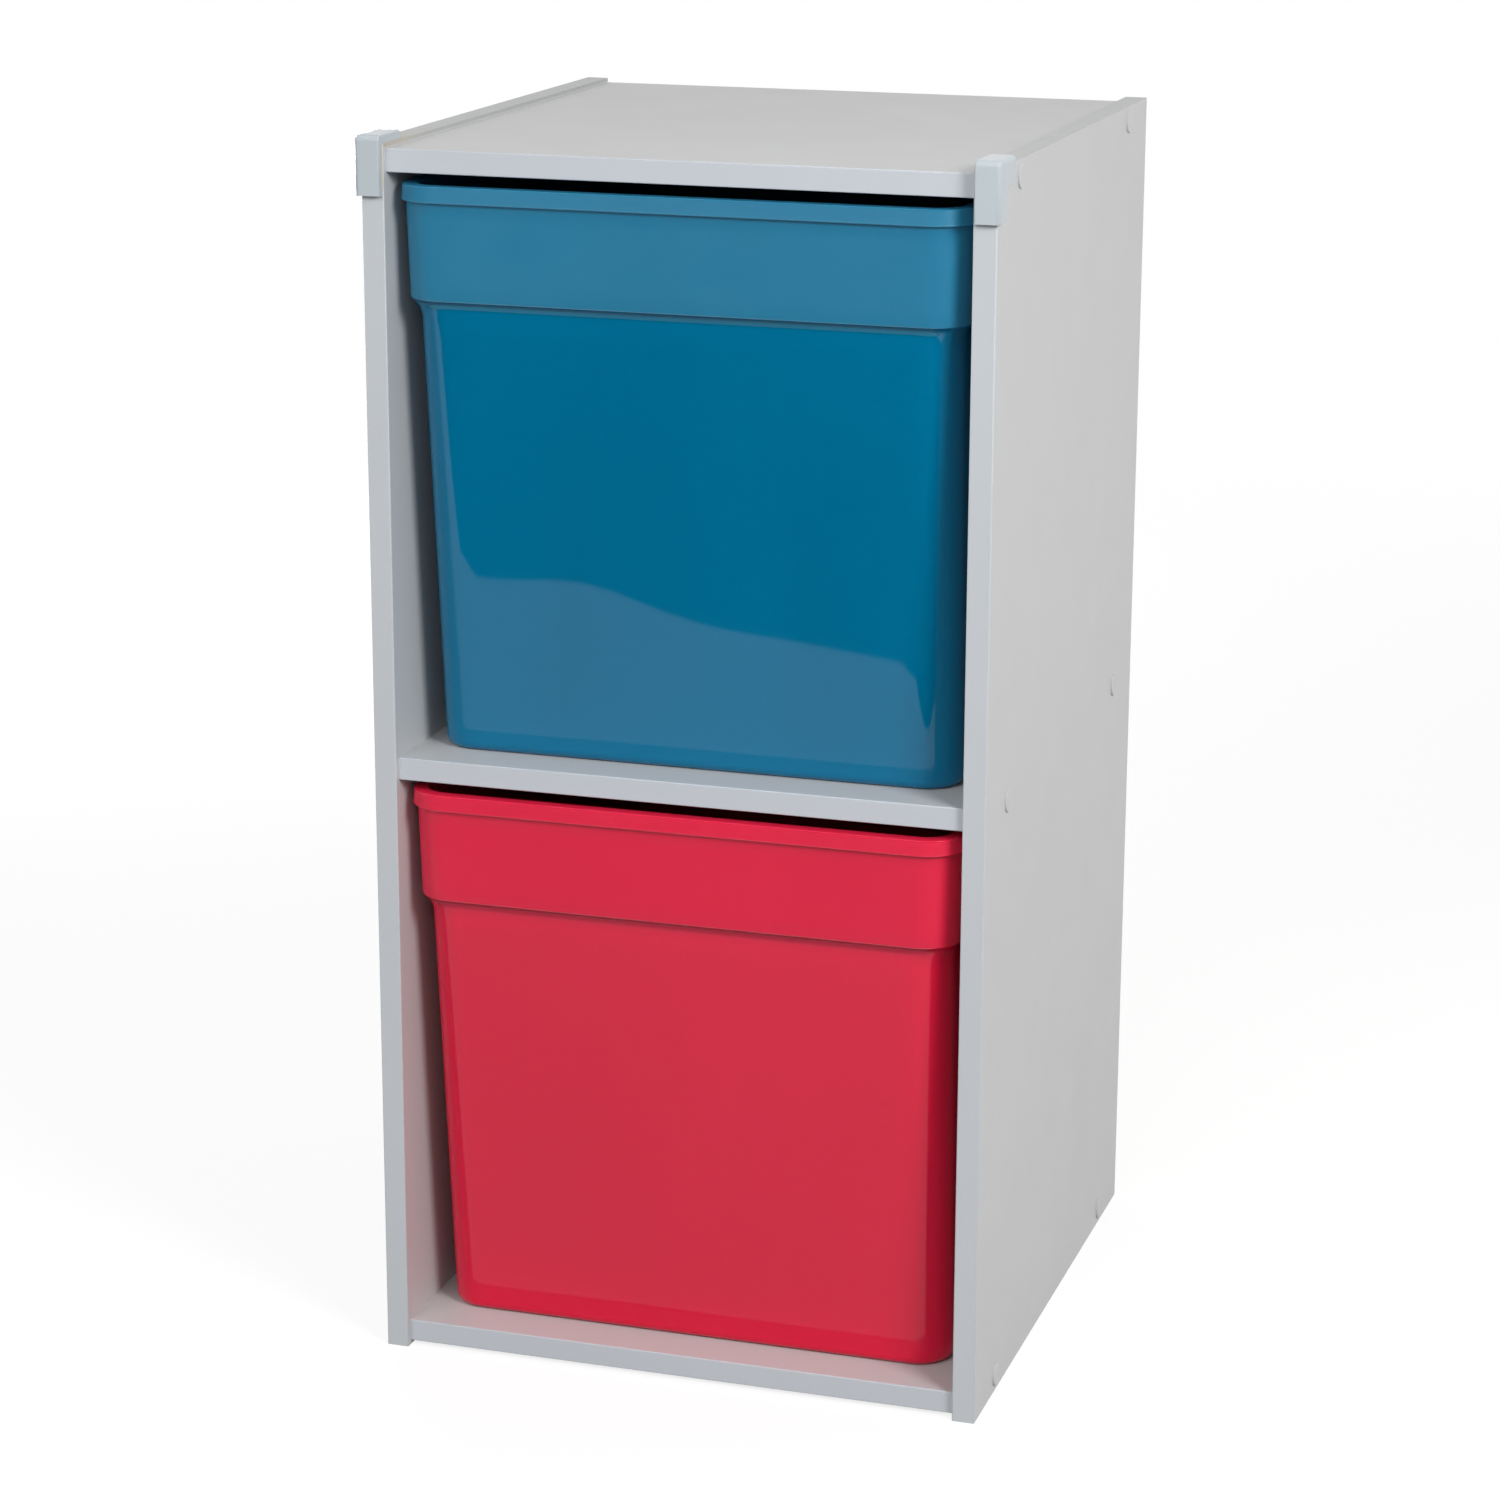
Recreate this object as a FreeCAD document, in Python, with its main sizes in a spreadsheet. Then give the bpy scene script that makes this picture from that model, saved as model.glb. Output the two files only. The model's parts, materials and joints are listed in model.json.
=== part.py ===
# Two-tier cube shelf unit of laminated board, with a pull-out moulded bin in each cube.
# Millimetres, +Z up, the open front faces -Y, the origin on the floor under the middle of the unit.

import FreeCAD, Part
import math
import os
import Sketcher

# Driving sizes, each with the piece that it belongs to
SIZES = [
    ("board_thickness", 12, "side panels, top, shelf and bottom"),
    ("bay_width", 305, "clear width of each cube"),
    ("bay_height", 305, "clear height of each cube"),
    ("panel_depth", 336, "front to back of the side panels"),
    ("panel_stand", 2.5, "side panels past the top and bottom boards"),
    ("board_setback", 3.5, "boards behind the front edges of the side panels"),
    ("edging_thickness", 1, "edge band on the front edges"),
    ("edge_round", 0.6, "rounded corners of the edge band"),
    ("back_thickness", 2.5, "hardboard back sheet"),
    ("back_inset", 8, "back sheet in front of the rear edges"),
    ("groove_depth", 5, "grooves that hold the back sheet"),
    ("groove_clearance", 0.2, "back sheet in its grooves"),
    ("screw_inset", 45, "screw rows from the front and rear edges"),
    ("screw_head", 8, "diameter of the countersunk head"),
    ("screw_head_height", 2.2, "cone under the head"),
    ("screw_shank", 4, "diameter of the shank"),
    ("screw_length", 40, "screw from head to tip"),
    ("screw_tip", 4, "pointed end of the screw"),
    ("screw_sink", 0.3, "head below the outer face of the panel"),
    ("drive_across", 3, "hexagon socket across its flats"),
    ("drive_depth", 1.8, "depth of the hexagon socket"),
    ("hole_clearance", 0.1, "round each screw, dowel and peg"),
    ("hole_end_gap", 0.8, "past the end of each screw, dowel and peg"),
    ("cover_diameter", 12, "screw cover"),
    ("cover_height", 1, "screw cover above the panel"),
    ("cover_round", 0.6, "rounded rim of the screw cover"),
    ("cover_peg", 2.2, "diameter of the peg under the cover"),
    ("cover_peg_length", 1.5, "peg under the cover"),
    ("dowel_diameter", 6, "wooden dowel"),
    ("dowel_length", 24, "wooden dowel"),
    ("dowel_in_panel", 7, "part of the dowel in the side panel"),
    ("dowel_bevel", 0.8, "bevelled ends of the dowel"),
    ("guard_front", 3.6, "corner guard in front of the panel"),
    ("guard_side", 2.3, "corner guard outside the panel"),
    ("guard_top", 4.4, "corner guard above the panel"),
    ("guard_down", 26, "front plate below the top of the panel"),
    ("guard_back", 27, "top plate behind the front of the panel"),
    ("guard_drop", 9, "wide part of the side plate below the top of the panel"),
    ("guard_strip", 9, "narrow part of the side plate behind the front"),
    ("guard_sweep", 7, "concave sweep between the two parts of the side plate"),
    ("guard_reveal", 1, "bare strip of panel beside the guard"),
    ("guard_brow", 3, "rounded brow along the front of the top plate"),
    ("guard_round", 2.2, "rounded outer edge, up the front and over the top"),
    ("guard_ease", 0.8, "eased inner edge, up the front and over the top"),
    ("guard_peg", 4, "diameter of the peg under the top plate"),
    ("guard_peg_length", 7, "peg under the top plate"),
    ("guard_peg_inset", 14, "peg behind the front of the panel"),
    ("bin_side_gap", 2, "bin to each side panel"),
    ("bin_top_gap", 6, "bin to the board above"),
    ("bin_back_gap", 0.5, "bin to the back sheet when pushed home"),
    ("bin_wall", 2.2, "wall of the bin"),
    ("bin_floor", 2.5, "floor of the bin"),
    ("rim_height", 8.4, "lip round the top of the bin"),
    ("rim_land", 8.5, "flat top of the lip"),
    ("rim_overhang", 2, "lip past the skirt"),
    ("rim_corner", 22, "corner radius of the lip"),
    ("rim_round", 1.2, "rounded outer edge of the lip"),
    ("rim_slope", 4.5, "slope under the inside of the lip"),
    ("skirt_height", 50, "plain band below the lip"),
    ("skirt_taper", 1.7, "draw-in of the band on each side"),
    ("shoulder_step", 4.2, "step in from the band to the body"),
    ("shoulder_drop", 11, "height of the hollow shoulder"),
    ("body_corner", 20, "corner radius of the body"),
    ("body_side_taper", 1.5, "draw-in of each side of the body"),
    ("body_front_taper", 20, "draw-in of the front and the back of the body"),
    ("foot_round", 5, "rounded foot of the bin"),
    ("floor_round", 3, "rounded inside foot"),
    ("foot_ring", 14, "ring that the bin stands on, from its outline"),
    ("foot_recess", 0.8, "hollow underside within the ring"),
    ("cut_overrun", 2, "cuts past open faces"),
]

# Sizes and places that follow from the driving sizes
DERIVED = [
    ("unit_width", "Sizes.bay_width + 2 * Sizes.board_thickness"),
    ("bottom_z", "Sizes.panel_stand"),
    ("lower_bay_z", "bottom_z + Sizes.board_thickness"),
    ("middle_z", "lower_bay_z + Sizes.bay_height"),
    ("upper_bay_z", "middle_z + Sizes.board_thickness"),
    ("top_z", "upper_bay_z + Sizes.bay_height"),
    ("unit_height", "top_z + Sizes.board_thickness + Sizes.panel_stand"),
    ("front_y", "(Sizes.guard_front - Sizes.panel_depth) / 2"),
    ("rear_y", "front_y + Sizes.panel_depth"),
    ("panel_core_y", "front_y + Sizes.edging_thickness"),
    ("board_front_y", "front_y + Sizes.board_setback"),
    ("board_core_y", "board_front_y + Sizes.edging_thickness"),
    ("sheet_rear_y", "rear_y - Sizes.back_inset"),
    ("sheet_front_y", "sheet_rear_y - Sizes.back_thickness"),
    ("groove_low_z", "lower_bay_z - Sizes.groove_depth"),
    ("groove_high_z", "top_z + Sizes.groove_depth"),
    ("screw_front_y", "front_y + Sizes.screw_inset"),
    ("screw_rear_y", "rear_y - Sizes.screw_inset"),
    ("dowel_y", "(front_y + rear_y) / 2"),
    ("bin_height", "Sizes.bay_height - Sizes.bin_top_gap"),
    ("rim_z", "bin_height - Sizes.rim_height"),
    ("hem_z", "rim_z - Sizes.skirt_height"),
    ("body_z", "hem_z - Sizes.shoulder_drop"),
    ("rim_width", "Sizes.bay_width - 2 * Sizes.bin_side_gap"),
    ("rim_depth", "sheet_front_y - Sizes.bin_back_gap - front_y"),
    ("skirt_width", "rim_width - 2 * Sizes.rim_overhang"),
    ("skirt_depth", "rim_depth - 2 * Sizes.rim_overhang"),
    ("hem_width", "skirt_width - 2 * Sizes.skirt_taper"),
    ("hem_depth", "skirt_depth - 2 * Sizes.skirt_taper"),
    ("body_width", "hem_width - 2 * Sizes.shoulder_step"),
    ("body_depth", "hem_depth - 2 * Sizes.shoulder_step"),
    ("foot_width", "body_width - 2 * Sizes.body_side_taper"),
    ("foot_depth", "body_depth - 2 * Sizes.body_front_taper"),
    ("skirt_corner", "Sizes.rim_corner - Sizes.rim_overhang"),
    ("shoulder_turn", "2 * atan(Sizes.shoulder_step / Sizes.shoulder_drop)"),
    ("shoulder_radius", "Sizes.shoulder_drop / sin(shoulder_turn)"),
]

FULL_TURN = 360
HEX_SIDES = 6
SHOULDER_STEPS = 4
SAME_PLACE = 0.001

doc = FreeCAD.newDocument("ShelfUnit")


def make_sheets():
    sizes = doc.addObject("Spreadsheet::Sheet", "Sizes")
    for row, (name, size, note) in enumerate(SIZES, start=1):
        sizes.set(f"A{row}", name)
        sizes.set(f"B{row}", str(size))
        sizes.setAlias(f"B{row}", name)
        sizes.set(f"C{row}", note)
    derived = doc.addObject("Spreadsheet::Sheet", "Derived")
    for row, (name, formula) in enumerate(DERIVED, start=1):
        derived.set(f"A{row}", name)
        derived.setAlias(f"B{row}", name)
        derived.set(f"B{row}", "=" + formula)
    doc.recompute()
    return sizes


sheet = make_sheets()


def number(formula):
    return float(sheet.evalExpression(formula))


def origin_plane(body, role):
    return next(feature for feature in body.Origin.OriginFeatures if feature.Role == role)


def new_body(label, x="0", y="0", z="0"):
    body = doc.addObject("PartDesign::Body", label)
    for axis, formula in zip("xyz", (x, y, z)):
        body.setExpression(f"Placement.Base.{axis}", formula)
    return body


def new_sketch(body, name, role, offset="0"):
    sketch = body.newObject("Sketcher::SketchObject", f"{body.Name}_{name}")
    sketch.AttachmentSupport = [(origin_plane(body, role), "")]
    sketch.MapMode = "FlatFace"
    sketch.setExpression("AttachmentOffset.Base.z", offset)
    return sketch


def drive(sketch, kind, places, formula):
    index = sketch.addConstraint(Sketcher.Constraint(kind, *places, number(formula)))
    sketch.setExpression(f"Constraints[{index}]", formula)


def draw_polygon(sketch, corners):
    points = [FreeCAD.Vector(number(x), number(y), 0) for x, y in corners]
    for here, there in zip(points, points[1:] + points[:1]):
        sketch.addGeometry(Part.LineSegment(here, there))
    for k, (x, y) in enumerate(corners):
        before = (k - 1) % len(corners)
        sketch.addConstraint(Sketcher.Constraint("Coincident", before, 2, k, 1))
        drive(sketch, "DistanceX", (-1, 1, k, 1), x)
        drive(sketch, "DistanceY", (-1, 1, k, 1), y)


def draw_rectangle(sketch, x_low, x_high, y_low, y_high):
    draw_polygon(sketch, [(x_low, y_low), (x_high, y_low), (x_high, y_high), (x_low, y_high)])


def draw_circle(sketch, x, y, diameter):
    centre = FreeCAD.Vector(number(x), number(y), 0)
    circle = Part.Circle(centre, FreeCAD.Vector(0, 0, 1), number(diameter) / 2)
    index = sketch.addGeometry(circle)
    drive(sketch, "DistanceX", (-1, 1, index, 3), x)
    drive(sketch, "DistanceY", (-1, 1, index, 3), y)
    drive(sketch, "Diameter", (index,), diameter)


# A rectangle with four equal round corners, centred on the sketch's origin
def draw_rounded(sketch, width, depth, corner):
    radius = number(corner)
    inset_x = number(width) / 2 - radius
    inset_y = number(depth) / 2 - radius
    up = FreeCAD.Vector(0, 0, 1)
    arcs = []
    for turn, (side_x, side_y) in enumerate([(1, -1), (1, 1), (-1, 1), (-1, -1)], start=-1):
        centre = FreeCAD.Vector(side_x * inset_x, side_y * inset_y, 0)
        start = turn * math.pi / 2
        arcs.append(Part.ArcOfCircle(Part.Circle(centre, up, radius), start, start + math.pi / 2))
    for before, arc in zip(arcs[-1:] + arcs[:-1], arcs):
        sketch.addGeometry(Part.LineSegment(before.EndPoint, arc.StartPoint))
        sketch.addGeometry(arc)
    count = sketch.GeometryCount
    for k in range(count):
        sketch.addConstraint(Sketcher.Constraint("Tangent", k, 2, (k + 1) % count, 1))
    front, right, rear, left = range(0, count, 2)
    for line in (front, rear):
        sketch.addConstraint(Sketcher.Constraint("Horizontal", line))
    for line in (left, right):
        sketch.addConstraint(Sketcher.Constraint("Vertical", line))
    first_arc, *other_arcs = range(1, count, 2)
    for arc in other_arcs:
        sketch.addConstraint(Sketcher.Constraint("Equal", first_arc, arc))
    sketch.addConstraint(Sketcher.Constraint("Symmetric", front, 1, rear, 1, -1, 1))
    drive(sketch, "Radius", (first_arc,), corner)
    drive(sketch, "DistanceX", (left, 1, right, 1), width)
    drive(sketch, "DistanceY", (front, 1, rear, 1), depth)


def add_pad(body, name, sketch, length, reverse=False):
    pad = body.newObject("PartDesign::Pad", f"{body.Name}_{name}")
    pad.Profile = sketch
    pad.setExpression("Length", length)
    pad.Reversed = reverse


# A pocket that points the wrong way cuts nothing, so the volume is compared
def add_pocket(body, name, sketch, depth, reverse=False):
    doc.recompute()
    volume = body.Shape.Volume
    pocket = body.newObject("PartDesign::Pocket", f"{body.Name}_{name}")
    pocket.Profile = sketch
    pocket.setExpression("Length", depth)
    pocket.Reversed = reverse
    doc.recompute()
    if body.Shape.Volume >= volume:
        raise RuntimeError(f"{pocket.Name} cuts nothing")
    return pocket


def add_twin(body, name, features, role):
    twin = body.newObject("PartDesign::Mirrored", f"{body.Name}_{name}")
    twin.Originals = features
    twin.MirrorPlane = (origin_plane(body, role), [""])
    body.Tip = twin


def add_turned(body, name, sketch):
    turned = body.newObject("PartDesign::Revolution", f"{body.Name}_{name}")
    turned.Profile = sketch
    turned.ReferenceAxis = (sketch, ["V_Axis"])
    turned.Angle = FULL_TURN


def add_loft(body, name, sketches, ruled=True, kind="AdditiveLoft"):
    loft = body.newObject(f"PartDesign::{kind}", f"{body.Name}_{name}")
    loft.Profile = sketches[0]
    loft.Sections = sketches[1:]
    loft.Ruled = ruled


# An edge lies at a place when its ends and its middle all do
def lies_at(edge, **places):
    points = [vertex.Point for vertex in edge.Vertexes]
    points.append(edge.valueAt((edge.FirstParameter + edge.LastParameter) / 2))
    return all(
        abs(getattr(point, axis) - number(formula)) < SAME_PLACE
        for point in points
        for axis, formula in places.items()
    )


# The places of edges are in the body's own frame
def add_fillet(body, name, radius, *chosen):
    doc.recompute()
    base = body.Tip
    names = [
        f"Edge{k}"
        for k, edge in enumerate(base.Shape.Edges, start=1)
        if any(lies_at(edge, **places) for places in chosen)
    ]
    fillet = body.newObject("PartDesign::Fillet", f"{body.Name}_{name}")
    fillet.Base = (base, names)
    fillet.setExpression("Radius", radius)


# A left-hand piece is the mirror image of the right-hand one
def mirror_left(label, right_piece):
    left_piece = doc.addObject("Part::Mirroring", label)
    left_piece.Source = right_piece
    left_piece.Normal = FreeCAD.Vector(1, 0, 0)


# Copies of one fastener along the X axis, its own Z axis pointing out of the right-hand panel
def set_row(label, master, x, places):
    copies = []
    for k, (y, z) in enumerate(places, start=1):
        copy = doc.addObject("App::Link", f"{label}_{k}")
        copy.LinkedObject = master
        copy.Placement.Rotation = FreeCAD.Rotation(FreeCAD.Vector(0, 0, 1), FreeCAD.Vector(1, 0, 0))
        for axis, formula in zip("xyz", (x, y, z)):
            copy.setExpression(f"Placement.Base.{axis}", formula)
        copies.append(copy)
    row = doc.addObject("Part::Compound", label)
    row.Links = copies
    return row


board_levels = ("Derived.bottom_z", "Derived.middle_z", "Derived.top_z")
board_middles = [f"{level} + Sizes.board_thickness / 2" for level in board_levels]
screw_places = [(y, z) for z in board_middles for y in ("Derived.screw_front_y", "Derived.screw_rear_y")]
dowel_places = [("Derived.dowel_y", z) for z in board_middles]
screw_hole = "Sizes.screw_shank + 2 * Sizes.hole_clearance"
dowel_hole = "Sizes.dowel_diameter + 2 * Sizes.hole_clearance"
groove_sides = (
    "Derived.sheet_front_y - Sizes.groove_clearance",
    "Derived.sheet_rear_y + Sizes.groove_clearance",
)


def make_side_panel():
    body = new_body("right_side_panel", x="Sizes.bay_width / 2")
    outline = new_sketch(body, "outline", "YZ_Plane")
    draw_rectangle(outline, "Derived.panel_core_y", "Derived.rear_y", "0", "Derived.unit_height")
    add_pad(body, "board", outline, "Sizes.board_thickness")

    groove = new_sketch(body, "groove_outline", "YZ_Plane")
    draw_rectangle(groove, *groove_sides, "Derived.groove_low_z", "Derived.groove_high_z")
    add_pocket(body, "groove", groove, "Sizes.groove_depth", reverse=True)

    seats = new_sketch(body, "dowel_circles", "YZ_Plane")
    for y, z in dowel_places:
        draw_circle(seats, y, z, dowel_hole)
    add_pocket(body, "dowel_seats", seats, "Sizes.dowel_in_panel + Sizes.hole_end_gap", reverse=True)

    peg_seat = new_sketch(body, "peg_circle", "XY_Plane", "Derived.unit_height")
    peg_hole = "Sizes.guard_peg + 2 * Sizes.hole_clearance"
    draw_circle(peg_seat, "Sizes.board_thickness / 2", "Derived.front_y + Sizes.guard_peg_inset", peg_hole)
    add_pocket(body, "peg_seat", peg_seat, "Sizes.guard_peg_length + Sizes.hole_end_gap")

    drilled = new_sketch(body, "screw_circles", "YZ_Plane", "Sizes.board_thickness")
    for y, z in screw_places:
        draw_circle(drilled, y, z, screw_hole)
    doc.recompute()
    holes = body.newObject("PartDesign::Hole", f"{body.Name}_screw_holes")
    holes.Profile = drilled
    holes.DepthType = "ThroughAll"
    holes.HoleCutType = "Countersink"
    holes.setExpression("Diameter", screw_hole)
    mouth = "Sizes.screw_head + 2 * (Sizes.screw_sink + Sizes.hole_clearance)"
    holes.setExpression("HoleCutDiameter", mouth)
    cone = "2 * atan((Sizes.screw_head - Sizes.screw_shank) / 2 / Sizes.screw_head_height)"
    holes.setExpression("HoleCutCountersinkAngle", cone)
    mirror_left("left_side_panel", body)


def make_panel_edging():
    body = new_body("right_panel_edging", x="Sizes.bay_width / 2")
    outline = new_sketch(body, "outline", "XY_Plane")
    draw_rectangle(outline, "0", "Sizes.board_thickness", "Derived.front_y", "Derived.panel_core_y")
    add_pad(body, "band", outline, "Derived.unit_height")
    add_fillet(
        body, "round", "Sizes.edge_round",
        {"x": "0", "y": "Derived.front_y"},
        {"x": "Sizes.board_thickness", "y": "Derived.front_y"},
    )
    mirror_left("left_panel_edging", body)


def make_board(label, level, rear, groove_face=None):
    body = new_body(label, z=level)
    outline = new_sketch(body, "outline", "XY_Plane")
    draw_rectangle(outline, "-Sizes.bay_width / 2", "Sizes.bay_width / 2", "Derived.board_core_y", rear)
    add_pad(body, "board", outline, "Sizes.board_thickness")
    if groove_face:
        groove = new_sketch(body, "groove_outline", "XY_Plane", groove_face)
        draw_rectangle(groove, "-Sizes.bay_width / 2", "Sizes.bay_width / 2", *groove_sides)
        add_pocket(body, "groove", groove, "Sizes.groove_depth", reverse=groove_face == "0")

    middle = "Sizes.board_thickness / 2"
    pilots = new_sketch(body, "screw_circles", "YZ_Plane", "Sizes.bay_width / 2")
    for y in ("Derived.screw_front_y", "Derived.screw_rear_y"):
        draw_circle(pilots, y, middle, screw_hole)
    reach = "Sizes.screw_length + Sizes.screw_sink - Sizes.board_thickness + Sizes.hole_end_gap"
    screw_ends = add_pocket(body, "screw_holes", pilots, reach)
    seats = new_sketch(body, "dowel_circle", "YZ_Plane", "Sizes.bay_width / 2")
    draw_circle(seats, "Derived.dowel_y", middle, dowel_hole)
    reach = "Sizes.dowel_length - Sizes.dowel_in_panel + Sizes.hole_end_gap"
    dowel_ends = add_pocket(body, "dowel_hole", seats, reach)
    add_twin(body, "other_end", [screw_ends, dowel_ends], "YZ_Plane")


def make_board_edging(label, level):
    body = new_body(label, z=level)
    outline = new_sketch(body, "outline", "XY_Plane")
    sides = ("-Sizes.bay_width / 2", "Sizes.bay_width / 2")
    draw_rectangle(outline, *sides, "Derived.board_front_y", "Derived.board_core_y")
    add_pad(body, "band", outline, "Sizes.board_thickness")
    add_fillet(
        body, "round", "Sizes.edge_round",
        {"y": "Derived.board_front_y", "z": "0"},
        {"y": "Derived.board_front_y", "z": "Sizes.board_thickness"},
    )


def make_back_sheet():
    body = new_body("back_sheet")
    outline = new_sketch(body, "outline", "XY_Plane", "Derived.groove_low_z + Sizes.groove_clearance")
    reach = "Sizes.bay_width / 2 + Sizes.groove_depth - Sizes.groove_clearance"
    draw_rectangle(outline, f"-({reach})", reach, "Derived.sheet_front_y", "Derived.sheet_rear_y")
    height = "Derived.groove_high_z - Derived.groove_low_z - 2 * Sizes.groove_clearance"
    add_pad(body, "sheet", outline, height)


# The screw's head faces up and its point down, with the top of the head at zero
def make_screws():
    body = new_body("screw")
    profile = new_sketch(body, "profile", "XZ_Plane")
    draw_polygon(profile, [
        ("0", "0"),
        ("Sizes.screw_head / 2", "0"),
        ("Sizes.screw_shank / 2", "-Sizes.screw_head_height"),
        ("Sizes.screw_shank / 2", "Sizes.screw_tip - Sizes.screw_length"),
        ("0", "-Sizes.screw_length"),
    ])
    add_turned(body, "turned", profile)
    socket = new_sketch(body, "socket_outline", "XY_Plane")
    corner = f"Sizes.drive_across / 2 / cos({FULL_TURN / HEX_SIDES / 2} deg)"
    turns = [k * FULL_TURN / HEX_SIDES for k in range(HEX_SIDES)]
    draw_polygon(socket, [(f"{corner} * cos({turn} deg)", f"{corner} * sin({turn} deg)") for turn in turns])
    add_pocket(body, "socket", socket, "Sizes.drive_depth")
    row = set_row("right_screws", body, "Derived.unit_width / 2 - Sizes.screw_sink", screw_places)
    mirror_left("left_screws", row)


# The cover lies on the panel at zero, with its peg pushed into the screw's socket
def make_screw_covers():
    body = new_body("screw_cover")
    profile = new_sketch(body, "profile", "XZ_Plane")
    draw_polygon(profile, [
        ("0", "-Sizes.cover_peg_length"),
        ("Sizes.cover_peg / 2", "-Sizes.cover_peg_length"),
        ("Sizes.cover_peg / 2", "0"),
        ("Sizes.cover_diameter / 2", "0"),
        ("Sizes.cover_diameter / 2", "Sizes.cover_height"),
        ("0", "Sizes.cover_height"),
    ])
    add_turned(body, "turned", profile)
    add_fillet(body, "round", "Sizes.cover_round", {"z": "Sizes.cover_height"})
    row = set_row("right_screw_covers", body, "Derived.unit_width / 2", screw_places)
    mirror_left("left_screw_covers", row)


def make_dowels():
    body = new_body("dowel")
    profile = new_sketch(body, "profile", "XZ_Plane")
    draw_polygon(profile, [
        ("0", "0"),
        ("Sizes.dowel_diameter / 2 - Sizes.dowel_bevel", "0"),
        ("Sizes.dowel_diameter / 2", "Sizes.dowel_bevel"),
        ("Sizes.dowel_diameter / 2", "Sizes.dowel_length - Sizes.dowel_bevel"),
        ("Sizes.dowel_diameter / 2 - Sizes.dowel_bevel", "Sizes.dowel_length"),
        ("0", "Sizes.dowel_length"),
    ])
    add_turned(body, "turned", profile)
    inner_end = "Sizes.bay_width / 2 + Sizes.dowel_in_panel - Sizes.dowel_length"
    row = set_row("right_dowels", body, inner_end, dowel_places)
    mirror_left("left_dowels", row)


# The guard's own zero is the top front outer corner of the side panel
def make_corner_guards():
    body = new_body(
        "right_corner_guard", x="Derived.unit_width / 2", y="Derived.front_y", z="Derived.unit_height"
    )
    inner = "Sizes.board_thickness - Sizes.guard_reveal"
    outline = new_sketch(body, "outline", "YZ_Plane", f"-({inner})")
    draw_polygon(outline, [
        ("-Sizes.guard_front", "-Sizes.guard_down"),
        ("Sizes.guard_strip", "-Sizes.guard_down"),
        ("Sizes.guard_strip", "-Sizes.guard_drop"),
        ("Sizes.guard_back", "-Sizes.guard_drop"),
        ("Sizes.guard_back", "Sizes.guard_top"),
        ("-Sizes.guard_front", "Sizes.guard_top"),
    ])
    add_pad(body, "block", outline, f"{inner} + Sizes.guard_side")
    add_fillet(body, "sweep", "Sizes.guard_sweep", {"y": "Sizes.guard_strip", "z": "-Sizes.guard_drop"})
    add_fillet(
        body, "brow", "Sizes.guard_brow",
        {"y": "-Sizes.guard_front", "z": "Sizes.guard_top"},
        {"y": "Sizes.guard_back", "z": "Sizes.guard_top"},
    )
    add_fillet(body, "round", "Sizes.guard_round", {"x": "Sizes.guard_side", "y": "-Sizes.guard_front"})
    add_fillet(body, "ease", "Sizes.guard_ease", {"x": f"-({inner})", "y": "-Sizes.guard_front"})

    seat = new_sketch(body, "seat_outline", "YZ_Plane")
    far_y = "Sizes.guard_back + Sizes.cut_overrun"
    far_z = "-(Sizes.guard_down + Sizes.cut_overrun)"
    draw_rectangle(seat, "0", far_y, far_z, "0")
    add_pocket(body, "seat", seat, f"{inner} + Sizes.cut_overrun")

    peg = new_sketch(body, "peg_circle", "XY_Plane")
    draw_circle(peg, "-Sizes.board_thickness / 2", "Sizes.guard_peg_inset", "Sizes.guard_peg")
    add_pad(body, "peg", peg, "Sizes.guard_peg_length", reverse=True)
    mirror_left("left_corner_guard", body)


# A cross-section of the bin at one height
def bin_section(body, name, height, width, depth, corner):
    sketch = new_sketch(body, name, "XY_Plane", height)
    draw_rounded(sketch, width, depth, corner)
    return sketch


# The same cross-section drawn in by a margin on every side
def bin_hollow(body, name, height, size, corner, margin):
    width = f"Derived.{size}_width - 2 * ({margin})"
    depth = f"Derived.{size}_depth - 2 * ({margin})"
    return bin_section(body, name, height, width, depth, f"{corner} - ({margin})")


# The shoulder is an arc that leaves the body's wall smoothly and ends at the hem of the skirt
def shoulder_section(body, step):
    share = step / SHOULDER_STEPS
    turn = f"Derived.shoulder_turn * {share}"
    spread = f"2 * Derived.shoulder_radius * (1 - cos({turn}))"
    return bin_section(
        body, f"shoulder_{step}",
        f"Derived.body_z + Derived.shoulder_radius * sin({turn})",
        f"Derived.body_width + {spread}",
        f"Derived.body_depth + {spread}",
        f"Sizes.body_corner + (Derived.skirt_corner - Sizes.body_corner) * {share}",
    )


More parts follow.
